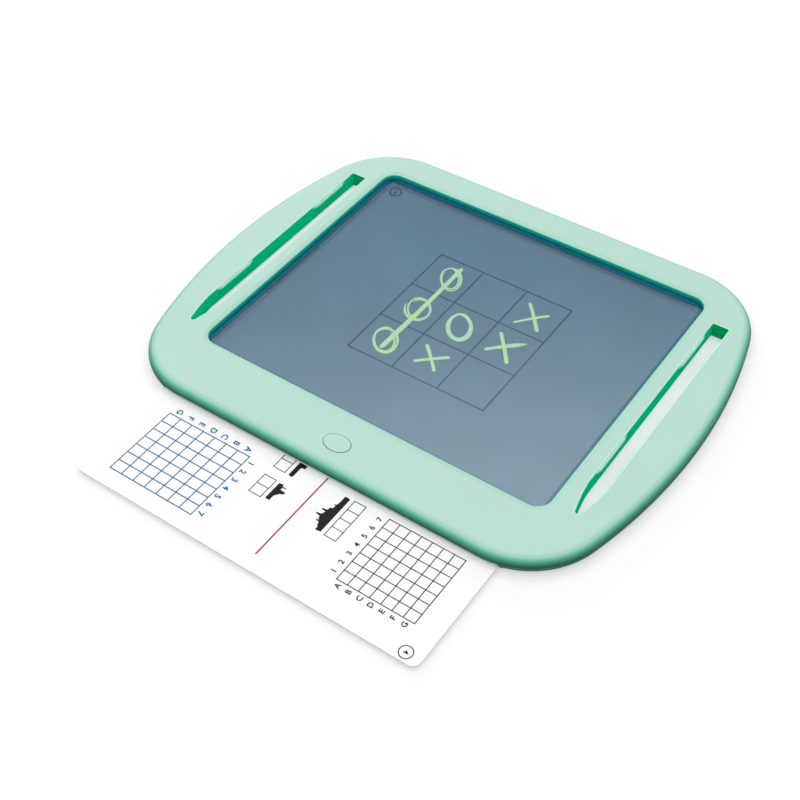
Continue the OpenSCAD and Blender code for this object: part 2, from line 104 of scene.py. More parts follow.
def case_plan(inset, corner_steps=32, side_steps=48):
    """Outline of the case, moved in by inset."""
    half = [(corner_x + (corner_r - inset)*math.cos(a), -corner_y + (corner_r - inset)*math.sin(a))
            for a in (-math.pi/2 + (math.pi/2 - side_turn)*k/corner_steps for k in range(corner_steps + 1))]
    half += [(side_x + (side_r - inset)*math.cos(a), (side_r - inset)*math.sin(a))
             for a in (side_turn*(2*k/side_steps - 1) for k in range(1, side_steps))]
    half += [(x, -y) for x, y in reversed(half[:corner_steps + 1])]
    return half + [(-x, y) for x, y in reversed(half)]


def rounded_plan(length, width, radius, centre=(0, 0), steps=10):
    """Rectangle with rounded corners."""
    plan = []
    for turn, (sx, sy) in enumerate(((1, 1), (-1, 1), (-1, -1), (1, -1))):
        for k in range(steps + 1):
            a = math.pi/2*(turn + k/steps)
            plan.append((centre[0] + sx*(length/2 - radius) + radius*math.cos(a),
                         centre[1] + sy*(width/2 - radius) + radius*math.sin(a)))
    return plan


def oval_plan(length, width, centre=(0, 0), steps=72):
    return [(centre[0] + length/2*math.cos(math.tau*k/steps), centre[1] + width/2*math.sin(math.tau*k/steps))
            for k in range(steps)]


def ring(mesh, plan, z):
    return [mesh.verts.new((x, y, z)) for x, y in plan]


def skirt(mesh, rings, finish=0):
    """Walls through closed rings of as many vertices each."""
    for lower, upper in zip(rings, rings[1:]):
        for k in range(len(lower)):
            mesh.faces.new((lower[k - 1], lower[k], upper[k], upper[k - 1])).material_index = finish


def plate(mesh, *rings):
    """Flat face inside the first ring, open at the others."""
    corners = [v for one in rings for v in one]
    for face in tessellate_polygon([[Vector((v.co.x, v.co.y, 0)) for v in one] for one in rings]):
        mesh.faces.new([corners[k] for k in face])


def piece(name, mesh, *finishes, crease=26):
    """Puts a mesh drawn in millimetres into the scene, smooth up to the crease angle."""
    bmesh.ops.recalc_face_normals(mesh, faces=mesh.faces)
    bmesh.ops.scale(mesh, vec=(MM, MM, MM), verts=mesh.verts)
    data = bpy.data.meshes.new(name)
    mesh.to_mesh(data)
    mesh.free()
    data.shade_smooth()
    data.set_sharp_from_angle(angle=math.radians(crease))
    for finish in finishes:
        data.materials.append(finish)
    made = bpy.data.objects.new(name, data)
    bpy.context.scene.collection.objects.link(made)
    made.modifiers.new("flat_faces_stay_flat", "WEIGHTED_NORMAL").keep_sharp = True
    return made


# Moulded ABS; the flat top and underside were spark-eroded to a fine matt grain. Its colour is painted shade,
# set by which way the surface faces: pale on the flat faces, deepening to a dark green down the rounds and
# the walls, where less light falls.
mint_abs, tree = material("mint_abs_painted_shade")
grain_mm, flow_mm = 0.35, 40    # grain is drawn coarser than the real 0.1 mm, to show at all
place = node(tree, "ShaderNodeTexCoord", {})
facing = node(tree, "ShaderNodeSeparateXYZ", {"Vector": place.outputs["Normal"]})
level = node(tree, "ShaderNodeMath", {0: facing.outputs["Z"]}, operation="ABSOLUTE")
grain = node(tree, "ShaderNodeTexNoise", {"Vector": place.outputs["Object"], "Scale": 1/(grain_mm*MM),
                                          "Detail": 2.0})
flow = node(tree, "ShaderNodeTexNoise", {"Vector": place.outputs["Object"], "Scale": 1/(flow_mm*MM),
                                         "Detail": 1.0})
# painted shade: the colour darkens from pale on faces that look up or down to dark green on faces that look
# sideways
shade_by_facing = node(tree, "ShaderNodeValToRGB", {"Fac": level.outputs[0]})
facing_shades = ((0.0, "#134735"), (0.12, "#1c5843"), (0.26, "#2a7058"), (0.375, "#38856b"), (0.485, "#479a7d"),
         (0.59, "#54ae8d"), (0.68, "#5fbd9a"), (0.755, "#72c7a8"), (0.83, "#8ad0b6"), (0.89, "#a1d7c3"),
         (0.95, "#a5d8c4"), (0.98, "#abd8c6"), (0.995, "#b4d9cb"), (1.0, "#b5d9cc"))
for k in range(len(facing_shades) - 2):
    shade_by_facing.color_ramp.elements.new(0.5)
for stop, (share, tone) in zip(shade_by_facing.color_ramp.elements, facing_shades):
    stop.position, stop.color = share, linear(tone)
clouded = node(tree, "ShaderNodeMapRange", {"Value": flow.outputs[0], "To Min": 0.98, "To Max": 1.02})
tone = node(tree, "ShaderNodeVectorMath", {0: shade_by_facing.outputs[0], "Scale": clouded.outputs[0]},
            operation="SCALE")
sheen = node(tree, "ShaderNodeMapRange", {"Value": grain.outputs[0], "To Min": 0.42, "To Max": 0.58})
bite = node(tree, "ShaderNodeMapRange", {"Value": level.outputs[0], "From Min": 0.7, "From Max": 1.0,
                                         "To Max": 0.25})
relief = node(tree, "ShaderNodeBump", {"Height": grain.outputs[0], "Strength": bite.outputs[0],
                                       "Distance": 0.02*MM})
shader = node(tree, "ShaderNodeBsdfPrincipled", {
    "Base Color": tone.outputs[0], "Roughness": sheen.outputs[0], "IOR": 1.53, "Specular IOR Level": 0.25,
    "Normal": relief.outputs[0]})
node(tree, "ShaderNodeOutputMaterial", {"Surface": shader.outputs[0]})


def polished_abs(name, deep, clear, roughness, shine):
    """The same ABS in colours given for one kind of wall, which paint light and shade on those walls, with
    faint marks along the wall where it was drawn past polished steel.
    """
    mark_l, mark_w = 9, 1.5
    made, tree = material(name)
    place = node(tree, "ShaderNodeTexCoord", {})
    drag = node(tree, "ShaderNodeMapping", {"Vector": place.outputs["Object"],
                                            "Scale": (1/(mark_l*MM), 1/(mark_l*MM), 1/(mark_w*MM))})
    marks = node(tree, "ShaderNodeTexNoise", {"Vector": drag.outputs[0], "Scale": 1.0, "Detail": 2.0})
    tone = node(tree, "ShaderNodeMix", {"Factor": marks.outputs[0], "A": linear(deep), "B": linear(clear)},
                data_type="RGBA")
    sheen = node(tree, "ShaderNodeMapRange", {"Value": marks.outputs[0], "To Min": roughness - 0.06,
                                              "To Max": roughness + 0.06})
    shader = node(tree, "ShaderNodeBsdfPrincipled", {
        "Base Color": tone.outputs[2], "Roughness": sheen.outputs[0], "IOR": 1.53,
        "Specular IOR Level": shine})
    node(tree, "ShaderNodeOutputMaterial", {"Surface": shader.outputs[0]})
    return made


# Copies of the same ABS with their own colours for the walls of the holes, which are painted light and shade:
# the slot walls a bright clear green, painted light for the light they get; the slot ends, which face front
# and back, a darker green as painted shade; the rim round the window a darker teal as painted shade; and the
# tabs' slopes and the broken edges a pale mint, painted light that keeps them as pale as the top.
slot_wall_painted_light = polished_abs("mint_abs_slot_walls_painted_light", "#00e4ae", "#00eeb8", 0.5, 0.0)
slot_end_painted_shade = polished_abs("mint_abs_slot_ends_painted_shade", "#00c07a", "#00c881", 0.5, 0.0)
rim_painted_shade = polished_abs("mint_abs_window_rim_painted_shade", "#0abbaa", "#0ec5b5", 0.4, 0.2)
tab_painted_light = polished_abs("mint_abs_tab_slopes_painted_light", "#cbf5e5", "#d1f8ea", 0.5, 0.2)

window_l, window_w, window_y, window_r = 200, 164.6, 6.9, 7.5
bezel_w, bezel_drop = 3, 0.6
rim_z, rim_reach = 6.4, 2.5
slot_x, slot_w, slot_tip_w = 113.2, 8.8, 2.6
slot_front, slot_back = -68.6, 76.3
slot_taper_l, slot_wall = 18.6, 1.4
slot_floor = 1.4
slot_corner_r = 0.8
tab_reach, tab_l, tab_ramp = 0.9, 22.5, 3
tab_levels = ((8.5, 0.5), (8.1, 0.78), (7.7, 1), (5.9, 1), (5.1, 0))    # height, share of the reach
tab_middles = (slot_back - 23.2, slot_front + 40)
button_y, button_l, button_w = -94.8, 14.9, 10.7


def window_plan(grow):
    return rounded_plan(window_l + 2*grow, window_w + 2*grow, window_r + grow, (0, window_y))


def slot_plan(side, grow, reach=0, steps=8):
    """Outline of a stylus slot: pointed at the front, square at the back, nipped in at the tabs."""
    half = [((slot_tip_w/2 + grow)*math.sin(a), slot_front + slot_tip_w/2 - (slot_tip_w/2 + grow)*math.cos(a))
            for a in (math.pi/2*(k + 0.5)/steps for k in range(steps))]
    taper = ((slot_tip_w/2, slot_tip_w/2), (3.5, 9.4), (slot_w/2, slot_taper_l))
    for k in range(steps + 1):
        t = k/steps
        x, y = (sum(c*p[axis] for c, p in zip(((1 - t)**2, 2*t*(1 - t), t*t), taper)) for axis in (0, 1))
        half.append((x + grow, slot_front + y))
    for middle in sorted(tab_middles):
        for along, share in ((-tab_l/2 - tab_ramp, 0), (-tab_l/2, 1), (tab_l/2, 1), (tab_l/2 + tab_ramp, 0)):
            half.append((slot_w/2 + grow - share*reach, middle + along))
    for k in range(5):
        a = math.pi/2*k/4
        half.append((slot_w/2 - slot_corner_r + (slot_corner_r + grow)*math.cos(a),
                     slot_back - slot_corner_r + (slot_corner_r + grow)*math.sin(a)))
    return [(side*slot_x + x, y) for x, y in half + [(-x, y) for x, y in reversed(half)]]


def broken_edge(radius, steps=4):
    """Growth and depth of each ring of a broken edge, from the top face down."""
    return [(radius*(1 - math.sin(a)), radius*(1 - math.cos(a)))
            for a in (math.pi/2*k/steps for k in range(steps + 1))]


mesh = bmesh.new()
arc = [math.pi/2*k/18 for k in range(1, 19)]
outside = ([ring(mesh, case_plan(seam_in), split_z), ring(mesh, case_plan(0), split_z + seam_up)]
           + [ring(mesh, case_plan(top_round*(1 - math.cos(a))), split_z + top_round*math.sin(a))
              for a in arc])
inside = [ring(mesh, case_plan(wall_t + plate_fillet), plate_z),
          ring(mesh, case_plan(wall_t), plate_z - plate_fillet),
          ring(mesh, case_plan(wall_t), split_z)]
skirt(mesh, inside + outside)
# the band slopes from the top face, rounds over at the window's edge and drops to the film
edge_z = case_t - bezel_drop
band = [ring(mesh, window_plan(grow), z) for grow, z in (
    (bezel_w + 0.2, case_t), (bezel_w - 0.2, case_t - 0.04), (0.7, edge_z + 0.14), (0.42, edge_z + 0.03),
    (0.18, edge_z - 0.18), (0.04, edge_z - 0.46), (0, edge_z - 0.76), (0, rim_z), (rim_reach, rim_z),
    (rim_reach, plate_z))]
skirt(mesh, band[:5])
# painted shade: the rim wall below the round-over takes the darker teal
skirt(mesh, band[4:], 2)
slots = []
for side in (-1, 1):
    slots.append([ring(mesh, slot_plan(side, grow), case_t - drop) for grow, drop in broken_edge(edge_round)]
                 + [ring(mesh, slot_plan(side, 0, share*tab_reach), z) for z, share in tab_levels]
                 + [ring(mesh, slot_plan(side, grow), z) for grow, z in (
                     (0, slot_floor), (slot_wall, slot_floor), (slot_wall, plate_z))])
    # painted light: the broken edge takes the pale tab mint, and the wall below it the bright slot green
    skirt(mesh, slots[-1][:4], 3)
    skirt(mesh, slots[-1][3:], 1)
hole = [ring(mesh, oval_plan(button_l + 2*grow, button_w + 2*grow, (0, button_y)), case_t - drop)
        for grow, drop in broken_edge(edge_round/2)]
hole.append(ring(mesh, oval_plan(button_l, button_w, (0, button_y)), plate_z))
# painted light: the walls of the button hole take the pale tab mint
skirt(mesh, hole, 3)
plate(mesh, outside[-1], band[0], slots[0][0], slots[1][0], hole[0])
plate(mesh, inside[0], band[-1], slots[0][-1], slots[1][-1], hole[-1])
bmesh.ops.recalc_face_normals(mesh, faces=mesh.faces)
# painted light and shade by facing: upward slot faces below the top take the pale tab mint, and slot faces
# looking front or back take the darker end green
for face in mesh.faces:
    if face.material_index == 1 and face.normal.z > 0.2 and face.calc_center_median().z < case_t - edge_round:
        face.material_index = 3
    elif face.material_index == 1 and abs(face.normal.y) > 0.8:
        face.material_index = 4
front_shell = piece("front_shell", mesh, mint_abs, slot_wall_painted_light, rim_painted_shade, tab_painted_light, slot_end_painted_shade)
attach(front_shell, "tablet")
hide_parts("front_housing")


# ---- Rear shell
# The lower half, moulded in the same ABS: a tray with the round underside, screw wells, the recess of
# the battery door, shallow seats for the feet, and the wide mouth of the card slot with its thumb notch.
guide_x, stop_y = 97.7, 87.7
card_floor = 1.4
slot_flare = 0.8
post_r, well_r, well_deep, bore_r = 3.6, 2.7, 2.4, 1.25
screw_places = [(s*x, y) for s in (-1, 1)
                for x, y in ((124.66, -64.1), (128.25, 0), (125.31, 58.1), (60, 100.55))]
rail_t, rail_front, carrier_z = 1.2, -107.5, 3.4
notch_y, notch_r = -112.1, 12
foot_r, foot_deep = 5.1, 0.5
foot_places = [(s*x, y) for s in (-1, 1) for x, y in ((105.8, 88.1), (87.7, -97.6))]
cell_place, ear_place = (-109.9, -82), (-105.34, -96.92)
door_t, door_r, ear_r, neck_r, neck_l = 1, 11.4, 3.4, 2.7, 15.6
cell_hole_r, ear_hole_r = 10.4, 2.9
ear_turn = math.atan2(ear_place[1] - cell_place[1], ear_place[0] - cell_place[0])


def solids(shapes):
    """Closed solids, each given by its plans and their levels, from below."""
    made = bmesh.new()
    for levels in shapes:
        walls = [ring(made, plan, z) for plan, z in levels]
        skirt(made, walls)
        made.faces.new(walls[0])
        made.faces.new(walls[-1])
    bmesh.ops.recalc_face_normals(made, faces=made.faces)
    data = bpy.data.meshes.new("tool")
    made.to_mesh(data)
    made.free()
    tool = bpy.data.objects.new("tool", data)
    bpy.context.scene.collection.objects.link(tool)
    return tool


def dress(finish, *names):
    """Gives nodes of the frame their finish."""
    for name in names:
        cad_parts[name].data.materials.clear()
        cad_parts[name].data.materials.append(finish)


def upright(plan, low, high):
    return [(plan, low), (plan, high)]


def disc(place, radius, low, high):
    return upright(oval_plan(2*radius, 2*radius, place, 48), low, high)


def block(x0, x1, y0, y1, low, high):
    return upright([(x0, y0), (x1, y0), (x1, y1), (x0, y1)], low, high)


def worked(mesh, steps):
    """The mesh after solids have been joined to it or cut from it, one step after another."""
    data = bpy.data.meshes.new("blank")
    mesh.to_mesh(data)
    mesh.free()
    blank = bpy.data.objects.new("blank", data)
    bpy.context.scene.collection.objects.link(blank)
    tools = []
    for operation, shapes in steps:
        tools.append(solids(shapes))
        step = blank.modifiers.new(operation, "BOOLEAN")
        step.operation, step.solver, step.object = operation, "EXACT", tools[-1]
    done = bpy.data.meshes.new_from_object(blank.evaluated_get(bpy.context.evaluated_depsgraph_get()))
    result = bmesh.new()
    result.from_mesh(done)
    for spare in tools + [blank]:
        bpy.data.objects.remove(spare)
    bpy.data.meshes.remove(done)
    return result


mesh = bmesh.new()
arc = [math.pi/2*k/16 for k in range(16)]
outside = ([ring(mesh, case_plan(split_z*(1 - math.sin(a))), split_z*(1 - math.cos(a))) for a in arc]
           + [ring(mesh, case_plan(0), split_z - seam_up), ring(mesh, case_plan(seam_in), split_z)])
inside = [ring(mesh, case_plan(wall_t), split_z), ring(mesh, case_plan(wall_t), card_floor + 1.8),
          ring(mesh, case_plan(wall_t + 1.4), card_floor)]
skirt(mesh, outside + inside)
plate(mesh, outside[0])
plate(mesh, inside[-1])
bmesh.ops.recalc_face_normals(mesh, faces=mesh.faces)
neck = [(cell_place[0] + along*math.cos(ear_turn) - across*math.sin(ear_turn),
         cell_place[1] + along*math.sin(ear_turn) + across*math.cos(ear_turn))
        for along, across in ((0, -neck_r), (neck_l, -neck_r), (neck_l, neck_r), (0, neck_r))]
below, above = -1, 6    # a cut starts under the shell and ends over it
mesh = worked(mesh, [
    ("UNION", [disc(place, post_r, 1, 4) for place in screw_places]),
    ("UNION", [block(s*guide_x, s*(guide_x + rail_t), rail_front, stop_y + rail_t, 1, carrier_z)
               for s in (-1, 1)]),
    ("UNION", [block(-guide_x - 0.5, guide_x + 0.5, stop_y, stop_y + rail_t, 1, carrier_z - 0.01)]),
    ("DIFFERENCE", [block(-guide_x, guide_x, -115, -100, card_floor, above)]),
    ("DIFFERENCE", [[(slot_plan(s, slot_flare + 0.1), -0.1), (slot_plan(s, 0), slot_flare),
                     (slot_plan(s, 0), above)] for s in (-1, 1)]),
    ("DIFFERENCE", [disc(place, well_r, below, well_deep) for place in screw_places]
     + [disc(place, foot_r, below, foot_deep) for place in foot_places]),
    ("DIFFERENCE", [disc(place, bore_r, 1, above) for place in screw_places]),
    ("DIFFERENCE", [disc((0, notch_y), notch_r, below, 3)]),
    ("DIFFERENCE", [disc(cell_place, door_r, below, door_t)]),
    ("DIFFERENCE", [disc(ear_place, ear_r, below, door_t)]),
    ("DIFFERENCE", [upright(neck, below, door_t)]),
    ("DIFFERENCE", [disc(cell_place, cell_hole_r, below, 3), disc(ear_place, ear_hole_r, below, 3)])])
mesh.normal_update()
# painted light and shade by facing: in the slots, faces looking front or back take the darker end green, and
# the other walls take the bright slot green
for face in mesh.faces:
    middle = face.calc_center_median()
    if (abs(abs(middle.x) - slot_x) < slot_w/2 + 0.2 and slot_front - 1.4 < middle.y < slot_back + 1.7
            and abs(face.normal.z) < 0.1):
        face.material_index = 2 if abs(face.normal.y) > 0.8 else 1
rear_shell = piece("rear_shell", mesh, mint_abs, slot_wall_painted_light, slot_end_painted_shade)
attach(rear_shell, "tablet")
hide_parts("rear_housing")
dress(mint_abs, "battery_door")


# ---- Erase button
# An oval cap of the same ABS, flush with the top and kept in by a flange under the plate. Its rim is
# softened, so that only a fine dark ring shows round it.
button_gap, button_flange, flange_t = 0.25, 1.6, 0.8
cap_l, cap_w = button_l - 2*button_gap, button_w - 2*button_gap
mesh = bmesh.new()
cap = [ring(mesh, oval_plan(cap_l + 2*grow, cap_w + 2*grow, (0, button_y)), z) for grow, z in (
    (button_flange + button_gap, plate_z - flange_t), (button_flange + button_gap, plate_z), (0, plate_z),
    (0, case_t - 0.2), (-0.03, case_t - 0.1), (-0.1, case_t - 0.03), (-0.2, case_t))]
skirt(mesh, cap)
plate(mesh, cap[0])
plate(mesh, cap[-1])
button_cap = piece("button_cap", mesh, mint_abs)
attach(button_cap, "erase_button")
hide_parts("erase_button")


# ---- Writing film
# Two PET sheets with liquid crystal between them, hard coated and sealed along their edge. Unwritten it is a
# dark see-through blue: the white card under it shows as slate, its print as darker lines, and the coat
# mirrors the room. Along the sealed edge a dark teal border fades a few millimetres into the window: painted
# shade and painted reflection of the rim's wall.
seal_shade_in, seal_shade_fade = 1.0, 1.8
lcd_film, tree = material("coated_lcd_film")
place = node(tree, "ShaderNodeTexCoord", {})
spacer_mm, cloud_mm = 0.3, 55    # spacer grains of the crystal layer, drawn coarse, and its faint clouds
spacers = node(tree, "ShaderNodeTexNoise", {"Vector": place.outputs["Object"], "Scale": 1/(spacer_mm*MM),
                                            "Detail": 1.0})
clouds = node(tree, "ShaderNodeTexNoise", {"Vector": place.outputs["Object"], "Scale": 1/(cloud_mm*MM),
                                           "Detail": 2.0})
crystal = node(tree, "ShaderNodeMix", {"Factor": clouds.outputs[0], "A": linear("#023145"),
                                       "B": linear("#04374d")}, data_type="RGBA")
tint = node(tree, "ShaderNodeMix", {"Factor": clouds.outputs[0], "A": linear("#c4cacd"),
                                    "B": linear("#c8ced1")}, data_type="RGBA")
spot = node(tree, "ShaderNodeSeparateXYZ", {"Vector": place.outputs["Object"]})
from_middle = node(tree, "ShaderNodeMath", {0: spot.outputs["Y"], 1: window_y*MM}, operation="SUBTRACT")
sealed_and_shaded = []
for socket, half in ((spot.outputs["X"], window_l/2), (from_middle.outputs[0], window_w/2)):
    reach = node(tree, "ShaderNodeMath", {0: socket}, operation="ABSOLUTE")
    sealed_and_shaded.append(node(tree, "ShaderNodeMapRange", {
        "Value": reach.outputs[0], "From Min": (half - seal_shade_in - seal_shade_fade)*MM,
        "From Max": (half - seal_shade_in)*MM}, interpolation_type="SMOOTHSTEP"))
seal_and_shade_mask = node(tree, "ShaderNodeMath", {0: sealed_and_shaded[0].outputs[0], 1: sealed_and_shaded[1].outputs[0]}, operation="MAXIMUM")
# painted shade and reflection: along the edge the film turns dark teal and less clear, standing in for the
# rim's shade and its mirror image
body = node(tree, "ShaderNodeMix", {"Factor": seal_and_shade_mask.outputs[0], "A": crystal.outputs[2],
                                    "B": linear("#046a80")}, data_type="RGBA")
clear = node(tree, "ShaderNodeMix", {"Factor": seal_and_shade_mask.outputs[0], "A": tint.outputs[2],
                                     "B": linear("#203a42")}, data_type="RGBA")
haze = node(tree, "ShaderNodeMapRange", {"Value": spacers.outputs[0], "To Min": 0.14, "To Max": 0.22})
relief = node(tree, "ShaderNodeBump", {"Height": spacers.outputs[0], "Strength": 0.02, "Distance": 0.004*MM})
gloss = node(tree, "ShaderNodeBsdfPrincipled", {
    "Base Color": body.outputs[2], "Roughness": haze.outputs[0], "IOR": 1.5,
    "Specular IOR Level": 0.6, "Normal": relief.outputs[0]})
through = node(tree, "ShaderNodeBsdfTransparent", {"Color": clear.outputs[2]})
both = node(tree, "ShaderNodeAddShader", {0: gloss.outputs[0], 1: through.outputs[0]})
node(tree, "ShaderNodeOutputMaterial", {"Surface": both.outputs[0]})
dress(lcd_film, "writing_film")


# ---- Backing panel
# A clear polycarbonate sheet, cut to size, that the film lies on: it keeps the film flat and lets the
# cards show through. Film and sheet touch with no air between, so there is no face where they meet.
sheet_l, sheet_w, sheet_r = 205.6, 170.2, 2
sheet_z, sheet_t = 4.2, 1
wave_mm = 30    # the sheet's slow waves, from the rolls it ran through
clear_sheet, tree = material("clear_polycarbonate_sheet")
place = node(tree, "ShaderNodeTexCoord", {})
waves = node(tree, "ShaderNodeTexNoise", {"Vector": place.outputs["Object"], "Scale": 1/(wave_mm*MM),
                                          "Detail": 0.0})
relief = node(tree, "ShaderNodeBump", {"Height": waves.outputs[0], "Strength": 0.1, "Distance": 0.05*MM})
body = node(tree, "ShaderNodeMix", {"Factor": waves.outputs[0], "A": linear("#f4fafb"),
                                    "B": linear("#f8fcfd")}, data_type="RGBA")
through = node(tree, "ShaderNodeBsdfTransparent", {"Color": body.outputs[2]})
shine = node(tree, "ShaderNodeBsdfGlossy", {"Roughness": 0.1, "Normal": relief.outputs[0]})
both = node(tree, "ShaderNodeMixShader", {0: 0.05, 1: through.outputs[0], 2: shine.outputs[0]})
node(tree, "ShaderNodeOutputMaterial", {"Surface": both.outputs[0]})
mesh = bmesh.new()
sheet = [ring(mesh, rounded_plan(sheet_l, sheet_w, sheet_r, (0, window_y)), z)
         for z in (sheet_z, sheet_z + sheet_t)]
skirt(mesh, sheet)
plate(mesh, sheet[0])
panel = piece("clear_panel", mesh, clear_sheet)
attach(panel, "tablet")
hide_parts("backing_panel")


# ---- Carrier frame
# A thin frame that holds film and sheet on the rear shell, moulded in natural ABS: a dull ivory white,
# which under the blue film looks much like the cards.
natural_abs, tree = material("moulded_natural_abs")
place = node(tree, "ShaderNodeTexCoord", {})
swirl_mm = 12
flow = node(tree, "ShaderNodeTexNoise", {"Vector": place.outputs["Object"], "Scale": 1/(swirl_mm*MM),
                                         "Detail": 3.0})
body = node(tree, "ShaderNodeMix", {"Factor": flow.outputs[0], "A": linear("#ecebe4"),
                                    "B": linear("#f3f2ec")}, data_type="RGBA")
dull = node(tree, "ShaderNodeMapRange", {"Value": flow.outputs[0], "To Min": 0.5, "To Max": 0.65})
shader = node(tree, "ShaderNodeBsdfPrincipled", {"Base Color": body.outputs[2], "Roughness": dull.outputs[0],
                                                 "IOR": 1.53})
node(tree, "ShaderNodeOutputMaterial", {"Surface": shader.outputs[0]})
dress(natural_abs, "carrier_frame")


# ---- Gasket
# A die-cut strip of black cellular foam that the rim presses on the film's edge.
cell_foam, tree = material("black_cellular_foam")
place = node(tree, "ShaderNodeTexCoord", {})
cell_mm = 0.4
cells = node(tree, "ShaderNodeTexVoronoi", {"Vector": place.outputs["Object"], "Scale": 1/(cell_mm*MM)})
body = node(tree, "ShaderNodeMix", {"Factor": cells.outputs["Distance"], "A": linear("#141617"),
                                    "B": linear("#2c3031")}, data_type="RGBA")
relief = node(tree, "ShaderNodeBump", {"Height": cells.outputs["Distance"], "Strength": 0.6,
                                       "Distance": 0.1*MM})
shader = node(tree, "ShaderNodeBsdfPrincipled", {"Base Color": body.outputs[2], "Roughness": 0.95,
                                                 "Normal": relief.outputs[0]})
node(tree, "ShaderNodeOutputMaterial", {"Surface": shader.outputs[0]})
dress(cell_foam, "screen_gasket")


# ---- Game cards
# Two sheets of white coated board, die-cut with round corners. One lies home under the screen, the
# other is drawn out of the mouth at the front.
card_board, tree = material("coated_white_board")
fibre_mm, clay_mm = 0.5, 18     # pulp fibres under the coat, drawn coarse, and its faint unevenness
place = node(tree, "ShaderNodeTexCoord", {})
fibres = node(tree, "ShaderNodeTexNoise", {"Vector": place.outputs["Object"], "Scale": 1/(fibre_mm*MM),
                                           "Detail": 4.0})
clay = node(tree, "ShaderNodeTexNoise", {"Vector": place.outputs["Object"], "Scale": 1/(clay_mm*MM),
                                         "Detail": 2.0})
body = node(tree, "ShaderNodeMix", {"Factor": clay.outputs[0], "A": linear("#f6f6f6"),
                                    "B": linear("#fbfbfb")}, data_type="RGBA")
dull = node(tree, "ShaderNodeMapRange", {"Value": fibres.outputs[0], "To Min": 0.4, "To Max": 0.6})
relief = node(tree, "ShaderNodeBump", {"Height": fibres.outputs[0], "Strength": 0.12, "Distance": 0.01*MM})
shader = node(tree, "ShaderNodeBsdfPrincipled", {"Base Color": body.outputs[2], "Roughness": dull.outputs[0],
                                                 "IOR": 1.5, "Normal": relief.outputs[0]})
node(tree, "ShaderNodeOutputMaterial", {"Surface": shader.outputs[0]})
dress(card_board, "noughts_card", "fleet_card")


# ---- Card print
# Offset print on the coated board: ruled grids, box columns with ship outlines, letters and numbers.
# The ink is a thin film with a slightly uneven cover.
ink_t, cover_mm = 0.02, 0.6
grid_line, grid_count = 0.5, 7


def ink(name, thin, full):
    """Offset ink, with its colour where it lies thin and where it covers fully."""
    made, tree = material(name)
    place = node(tree, "ShaderNodeTexCoord", {})
    cover = node(tree, "ShaderNodeTexNoise", {"Vector": place.outputs["Object"], "Scale": 1/(cover_mm*MM),
                                              "Detail": 2.0})
    body = node(tree, "ShaderNodeMix", {"Factor": cover.outputs[0], "A": linear(thin),
                                        "B": linear(full)}, data_type="RGBA")
    dull = node(tree, "ShaderNodeMapRange", {"Value": cover.outputs[0], "To Min": 0.35, "To Max": 0.55})
    shader = node(tree, "ShaderNodeBsdfPrincipled", {
        "Base Color": body.outputs[2], "Roughness": dull.outputs[0], "IOR": 1.5, "Specular IOR Level": 0.15})
    node(tree, "ShaderNodeOutputMaterial", {"Surface": shader.outputs[0]})
    return made


black_ink = ink("black_offset_ink", "#1a1a1b", "#0b0b0c")
blue_ink = ink("blue_offset_ink", "#0c65a6", "#07558f")
red_ink = ink("red_offset_ink", "#b63431", "#a12421")


def slab(mesh, plan, z):
    """One printed shape, lying on level z."""
    walls = [ring(mesh, plan, z), ring(mesh, plan, z + ink_t)]
    skirt(mesh, walls)
    plate(mesh, walls[0])
    plate(mesh, walls[1])


def rule(mesh, start, end, z, width=grid_line):
    """A ruled line."""
    along = (Vector(end) - Vector(start)).normalized()*width/2
    across = Vector((-along.y, along.x))
    a, b = Vector(start) - along, Vector(end) + along
    slab(mesh, [tuple(p) for p in (a - across, b - across, b + across, a + across)], z)


def ruled_grid(mesh, x0, x1, y0, y1, columns, rows, z, width=grid_line):
    for k in range(columns + 1):
        x = x0 + (x1 - x0)*k/columns
        rule(mesh, (x, y0), (x, y1), z, width)
    for k in range(rows + 1):
        y = y0 + (y1 - y0)*k/rows
        rule(mesh, (x0, y), (x1, y), z + ink_t/20, width)


def letter(mesh, character, place, size, z, turn=0, bold=0.03):
    """One printed letter or number, turned about its middle by whole degrees."""
    curve = bpy.data.curves.new("letter", "FONT")
    curve.body, curve.size, curve.offset = character, size, bold*size
    curve.align_x, curve.align_y = "CENTER", "CENTER"
    curve.extrude = ink_t/2
    shape = bpy.data.objects.new("letter", curve)
    bpy.context.scene.collection.objects.link(shape)
    flat = bpy.data.meshes.new_from_object(shape.evaluated_get(bpy.context.evaluated_depsgraph_get()))
    flat.transform(Matrix.Translation((*place, z + ink_t/2)) @ Matrix.Rotation(math.radians(turn), 4, "Z"))
    mesh.from_mesh(flat)
    bpy.data.objects.remove(shape)
    bpy.data.curves.remove(curve)
    bpy.data.meshes.remove(flat)


def circled(mesh, character, place, radius, size, z, turn=0, line=0.5):
    """A number in a ring."""
    edge = [oval_plan(2*r, 2*r, place, 40) for r in (radius, radius - line)]
    walls = [ring(mesh, edge[0], z), ring(mesh, edge[0], z + ink_t), ring(mesh, edge[1], z + ink_t),
             ring(mesh, edge[1], z)]
    skirt(mesh, walls + walls[:1])
    letter(mesh, character, place, size, z, turn)


